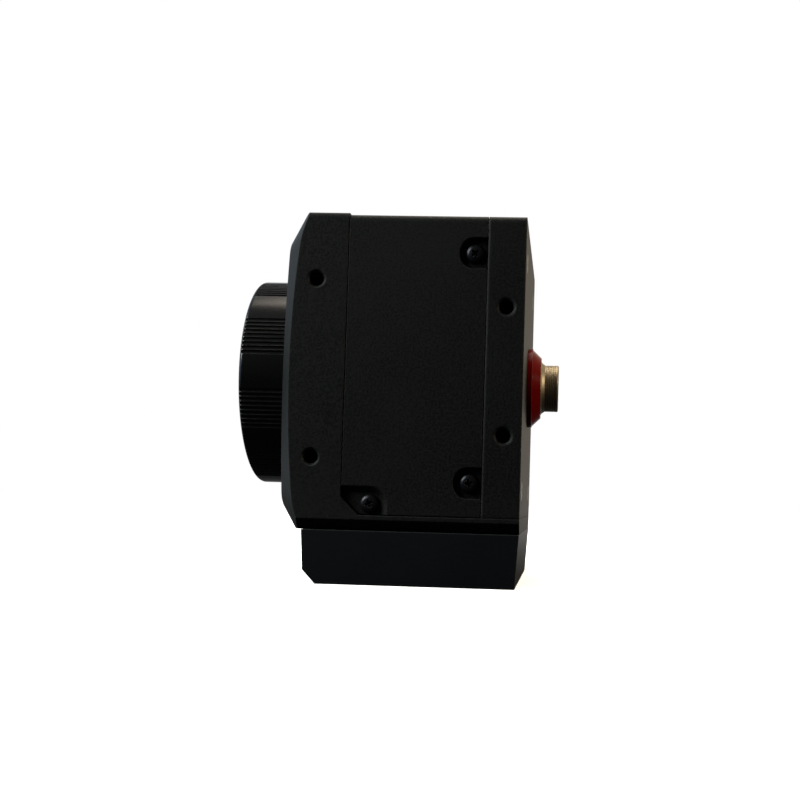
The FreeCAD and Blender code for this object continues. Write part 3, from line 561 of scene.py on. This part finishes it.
@dataclass
class Studio:
    """The pale floor, the soft lamps and the viewpoint."""

    floor_reach: float = 4.0
    floor_colour: str = "#e6e6e6"
    floor_in_room: str = "#262729"
    floor_glow: float = 0.35
    room_fill: tuple[float, float] = (1.0, 0.1)
    room_colours: tuple[str, str] = ("#dcecff", "#ffeed2")
    rear_gloss: float = 0.35
    lens_mm: float = 50.301
    view_place: tuple[float, float, float] = (0.2893, 0.0339, 0.02005)
    yaw: float = 3.152
    pitch: float = 2.577
    roll: float = 1.582
    shift: tuple[float, float] = (-0.125, 0.0625)
    lamps: tuple[Lamp, ...] = (Lamp("key", (0.18, -0.35, 0.30), 0.26, 26.0, "#f2f8f4"),
                               Lamp("window", (0.20, -0.75, 0.06), 0.50, 2.2, "#bcd9ff"),
                               Lamp("top", (-0.12, 0.05, 0.70), 0.45, 8.5, "#fff2e0"),
                               Lamp("rear", (0.10, 0.50, 0.24), 0.08, 100.0, "#ffeed6"))

    def lay_floor(self, level: float) -> None:
        """Lays the floor, which stays white far out and keeps the object's shadow close in."""
        mesh = bmesh.new()
        bmesh.ops.create_grid(mesh, x_segments=1, y_segments=1, size=self.floor_reach,
                              matrix=Matrix.Translation((0, 0, level)))
        data = bpy.data.meshes.new("floor")
        mesh.to_mesh(data)
        mesh.free()
        floor = bpy.data.objects.new("floor", data)
        bpy.context.scene.collection.objects.link(floor)
        floor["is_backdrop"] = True
        material = bpy.data.materials.new("matt_white_board")
        material.use_nodes = True
        tree = material.node_tree
        tree.nodes.clear()
        place = add_node(tree, "ShaderNodeTexCoord").outputs["Object"]
        reach = add_node(tree, "ShaderNodeVectorMath", {0: place}, operation="LENGTH").outputs[1]
        across = add_node(tree, "ShaderNodeSeparateXYZ", {"Vector": place}).outputs[0]
        glow = fade(tree, reach, (0.08, 0.5), (self.floor_glow, 1.0))
        shown = self.shown(tree, fade(tree, across, (-0.3, 0.0), (1.0, 0.0)))
        strength = add_node(tree, "ShaderNodeMath", {0: glow, 1: shown}, operation="MULTIPLY").outputs[0]
        viewed = add_node(tree, "ShaderNodeLightPath").outputs["Is Camera Ray"]
        colour = blend(tree, viewed, linear(self.floor_in_room), linear(self.floor_colour))
        board = add_node(tree, "ShaderNodeBsdfDiffuse", {"Color": colour}).outputs[0]
        white = linear("#ffffff")
        light = add_node(tree, "ShaderNodeEmission", {"Color": white, "Strength": strength}).outputs[0]
        both = add_node(tree, "ShaderNodeAddShader", {0: board, 1: light}).outputs[0]
        add_node(tree, "ShaderNodeOutputMaterial", {"Surface": both})
        data.materials.append(material)

    def shown(self, tree: bpy.types.NodeTree, gloss: bpy.types.NodeSocket) -> bpy.types.NodeSocket:
        """Tells how white the backdrop is to a ray: wholly to the viewer and through glass.

        Args:
            tree: The node tree.
            gloss: How white it is in what shines, which the dim side of the room is not.

        Returns:
            The output that carries the whiteness.
        """
        path = add_node(tree, "ShaderNodeLightPath").outputs
        seen = add_node(tree, "ShaderNodeMath", {0: path["Is Camera Ray"], 1: path["Is Transmission Ray"]},
                        operation="MAXIMUM").outputs[0]
        shine = add_node(tree, "ShaderNodeMath", {0: path["Is Glossy Ray"], 1: gloss},
                         operation="MULTIPLY").outputs[0]
        return add_node(tree, "ShaderNodeMath", {0: seen, 1: shine}, operation="MAXIMUM").outputs[0]

    def light_world(self) -> None:
        """Makes the world white to the viewer and in far reflections, and else a dim two-tinted room."""
        world = bpy.data.worlds.new("studio")
        world.use_nodes = True
        tree = world.node_tree
        tree.nodes.clear()
        way = add_node(tree, "ShaderNodeTexCoord").outputs["Generated"]
        across, along, _ = add_node(tree, "ShaderNodeSeparateXYZ", {"Vector": way}).outputs
        fill = fade(tree, across, (-0.6, 0.6), self.room_fill)
        gloss = add_node(tree, "ShaderNodeMath", {0: fade(tree, across, (-1.0, 0.0), (1.0, 0.0)),
                                                  1: fade(tree, along, (-0.2, 0.0), (1.0, self.rear_gloss))},
                         operation="MULTIPLY").outputs[0]
        shown = self.shown(tree, gloss)
        strength = add_node(tree, "ShaderNodeMath", {0: fill, 1: shown}, operation="MAXIMUM").outputs[0]
        viewed = add_node(tree, "ShaderNodeLightPath").outputs["Is Camera Ray"]
        cool, warm = [linear(colour) for colour in self.room_colours]
        tint = blend(tree, fade(tree, along, (-0.5, 0.3), (0.0, 1.0)), cool, warm)
        colour = blend(tree, viewed, tint, linear("#ffffff"))
        back = add_node(tree, "ShaderNodeBackground", {"Color": colour, "Strength": strength}).outputs[0]
        add_node(tree, "ShaderNodeOutputWorld", {"Surface": back})
        bpy.context.scene.world = world

    def hang_lamp(self, lamp: Lamp, target: Vector) -> None:
        """Hangs a lamp so that it points at a target.

        Args:
            lamp: The lamp to hang.
            target: What it points at.
        """
        data = bpy.data.lights.new(lamp.name, "AREA")
        data.size = lamp.size
        data.energy = lamp.level * math.pi * lamp.size * lamp.size
        data.color = linear(lamp.colour)[:3]
        hung = bpy.data.objects.new(lamp.name, data)
        hung.location = lamp.place
        hung.rotation_mode = "QUATERNION"
        hung.rotation_quaternion = (target - Vector(lamp.place)).to_track_quat("-Z", "Y")
        bpy.context.scene.collection.objects.link(hung)

    def place_camera(self) -> None:
        """Places the camera at the viewpoint."""
        data = bpy.data.cameras.new("viewpoint")
        data.lens = self.lens_mm
        data.sensor_width = 36.0
        data.shift_x, data.shift_y = self.shift
        data.clip_start = 0.005
        camera = bpy.data.objects.new("viewpoint", data)
        yaw, pitch, roll = [math.radians(angle) for angle in (self.yaw, self.pitch, self.roll)]
        ahead = Vector((-math.cos(yaw) * math.cos(pitch), -math.sin(yaw) * math.cos(pitch), math.sin(pitch)))
        right = Vector((-math.sin(yaw), math.cos(yaw), 0.0))
        over = right.cross(ahead)
        across = right * math.cos(roll) + over * math.sin(roll)
        up = over * math.cos(roll) - right * math.sin(roll)
        turned = Matrix((across, up, -ahead)).transposed().to_4x4()
        camera.matrix_world = Matrix.Translation(self.view_place) @ turned
        bpy.context.scene.collection.objects.link(camera)
        bpy.context.scene.camera = camera

    def build(self, box: tuple[Vector, Vector]) -> None:
        """Builds the whole stage round the object's box."""
        middle = (box[0] + box[1]) / 2
        self.lay_floor(box[0].z)
        self.light_world()
        for lamp in self.lamps:
            self.hang_lamp(lamp, middle)
        self.place_camera()
        view = bpy.context.scene.view_settings
        view.view_transform = "Standard"


@dataclass
class CameraDressing:
    """Everything that dresses the camera itself."""

    shop: Shop
    pan_radius: float = 2.25 * MM
    pan_height: float = 1.35 * MM
    pan_shank: float = 1.2 * MM
    pan_length: float = 5 * MM
    flat_radius: float = 2.2 * MM
    flat_shank: float = 1.15 * MM
    mount_screw_length: float = 4.2 * MM
    rear_screw_length: float = 8.0 * MM
    bottom_screw_rise: float = 7.7 * MM

    def screw_places(self) -> dict[str, list[tuple[Axis, Vector, float]]]:
        """Works out where the screws sit from their nodes' boxes."""
        low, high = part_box("cover_screws")
        radius = self.pan_radius
        head = self.pan_height
        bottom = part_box("cover")[0].z + self.bottom_screw_rise
        spots = [(low.y + radius, low.z + radius, 24.0), (high.y - radius, high.z - radius, 41.0),
                 (high.y - radius, bottom, 12.0)]
        cover = []
        for y, z, turn in spots:
            cover.append((Axis.RIGHT, Vector((high.x - head, y, z)), turn))
            cover.append((Axis.LEFT, Vector((low.x + head, y, z)), -turn))
        result = {"cover_screws": cover}
        for node, axis in (("mount_screws", Axis.FRONT), ("rear_screws", Axis.REAR)):
            low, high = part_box(node)
            reach = self.flat_radius
            face = low.y if axis is Axis.FRONT else high.y
            result[node] = [(axis, Vector((x, face, z)), 30.0 * index)
                            for index, (x, z) in enumerate([(low.x + reach, low.z + reach),
                                                            (low.x + reach, high.z - reach),
                                                            (high.x - reach, low.z + reach),
                                                            (high.x - reach, high.z - reach)])]
        return result

    def build(self) -> None:
        """Builds the new pieces and paints every node."""
        places = self.screw_places()
        black_zinc = Finish("black_zinc_on_steel", "#131315", "#1a1b1d", roughness=0.32, metallic=0.75,
                            specular=0.1, edge_mm=0.08, grain_mm=0.12, relief_mm=0.003)
        cover = CrossScrews("cover_screws", places["cover_screws"], self.pan_radius, self.pan_height,
                            self.pan_shank, self.pan_length, True)
        self.shop.paint(cover.build("camera"), black_zinc)
        for node, length in (("mount_screws", self.mount_screw_length),
                             ("rear_screws", self.rear_screw_length)):
            flat = CrossScrews(node, places[node], self.flat_radius, 0.0, self.flat_shank, length, False)
            self.shop.paint(flat.build("camera"), black_zinc)
        self.paint_outside(black_zinc)
        self.paint_inside()

    def paint_outside(self, black_zinc: Finish) -> None:
        """Paints the nodes that show."""
        paint = self.shop.paint_nodes
        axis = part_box("dust_cap")
        height = (axis[0].z + axis[1].z) / 2
        coat = PowderCoat("black_powder_coat", "#050606", "#111211", roughness=0.5, specular=0.05,
                          edge_mm=0.35, edge_rub=0.1, grain_mm=0.45, relief_mm=0.05, cloud_mm=30.0,
                          mottle=1.0)
        paint(coat, "front_housing", "cover")
        paint(replace(coat, name="black_powder_coat_thick_at_edges", edge_mm=0.9), "rear_housing")
        paint(Finish("black_anodised_block", "#07080a", "#0b0d0f", roughness=0.42, specular=0.07,
                     edge_mm=0.3, grain_mm=0.2, relief_mm=0.004), "mounting_foot")
        paint(Finish("moulded_black_abs", "#020202", "#040404", roughness=0.22, specular=0.16, edge_mm=0.3,
                     grain_mm=0.4, relief_mm=0.002, edge_rub=0.1), "dust_cap")
        paint(black_zinc, "foot_screws")
        paint(TurnedMetal("black_anodised_turned_aluminium", "#121314", "#1b1c1e", roughness=0.38,
                          metallic=0.3, axis_height=height, relief_mm=0.004),
              "lens_mount_ring", "filter_retainer")
        paint(TurnedMetal("red_anodised_aluminium", "#4c0302", "#560503", roughness=0.16, specular=0.03,
                          axis_height=height, edge_mm=0.25, edge_rub=0.1, relief_mm=0.002), "connector_ring")
        nickel = TurnedMetal("nickelled_brass", "#6a604c", "#786d58", roughness=0.48, metallic=1.0,
                             axis_height=height, edge_mm=0.1, relief_mm=0.003)
        paint(nickel, "connector_nut")
        self.shop.paint(ThreadedCollar().build("camera"), nickel)
        paint(Finish("moulded_black_nylon", "#0d0d0e", "#141415", roughness=0.45), "connector_insert")
        paint(Finish("gilt_contact", "#c79a3c", "#d8b058", roughness=0.22, metallic=1.0), "connector_pins")

    def paint_inside(self) -> None:
        """Paints the nodes that the housing holds."""
        paint = self.shop.paint_nodes
        paint(Glass("coated_filter_glass", "#dff2ea", "#cfe6f2", roughness=0.02), "filter_glass")
        paint(Glass("clear_cover_glass", "#f2f6f7", "#e8f0f4", roughness=0.02), "sensor_window")
        paint(Finish("foam_gasket", "#161616", "#222222", roughness=0.9, grain_mm=0.5, relief_mm=0.1),
              "sensor_gasket")
        paint(Finish("dark_alumina_ceramic", "#1d1c20", "#29282c", roughness=0.5), "image_sensor")
        paint(Finish("silicon_with_colour_filters", "#26313d", "#3b4654", roughness=0.15, metallic=0.4,
                     grain_mm=0.1, relief_mm=0.001), "sensor_die")
        paint(CircuitBoard("green_solder_mask", "#0c3f22", "#12502c", roughness=0.35), "sensor_board",
              "processor_board", "power_board", "connector_board")
        paint(Finish("nickelled_brass_pillar", "#a39a80", "#b8ae92", roughness=0.3, metallic=1.0),
              "front_standoffs", "middle_standoffs")
        paint(Finish("milled_aluminium", "#a9abad", "#bcbec0", roughness=0.36, metallic=1.0, grain_mm=0.4,
                     relief_mm=0.004), "tie_pillars", "heat_spreader", "heat_block")
        paint(Finish("silicone_thermal_pad", "#7b8da6", "#8c9cb2", roughness=0.8, relief_mm=0.03),
              "sensor_thermal_pad", "chip_thermal_pad")
        paint(Finish("moulded_epoxy_package", "#141415", "#1e1e20", roughness=0.55, relief_mm=0.01),
              "processor_chip", "memory_chips")
        paint(Finish("sintered_ferrite", "#2c2c2e", "#3a3a3c", roughness=0.6, relief_mm=0.03), "power_coils")
        paint(Finish("drawn_aluminium_can", "#b5b7ba", "#c6c8ca", roughness=0.25, metallic=1.0),
              "capacitors")
        paint(Finish("moulded_black_lcp", "#17171a", "#232327", roughness=0.4), "sensor_link", "power_link",
              "connector_link")


def main() -> None:
    """Builds the dressed camera and its stage in order."""
    logging.basicConfig(level=logging.INFO, format="%(name)s: %(message)s")
    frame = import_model()
    cad_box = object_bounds()
    CameraDressing(Shop(frame["nodes"])).build()
    Studio().build(cad_box)


if __name__ == "__main__":
    main()
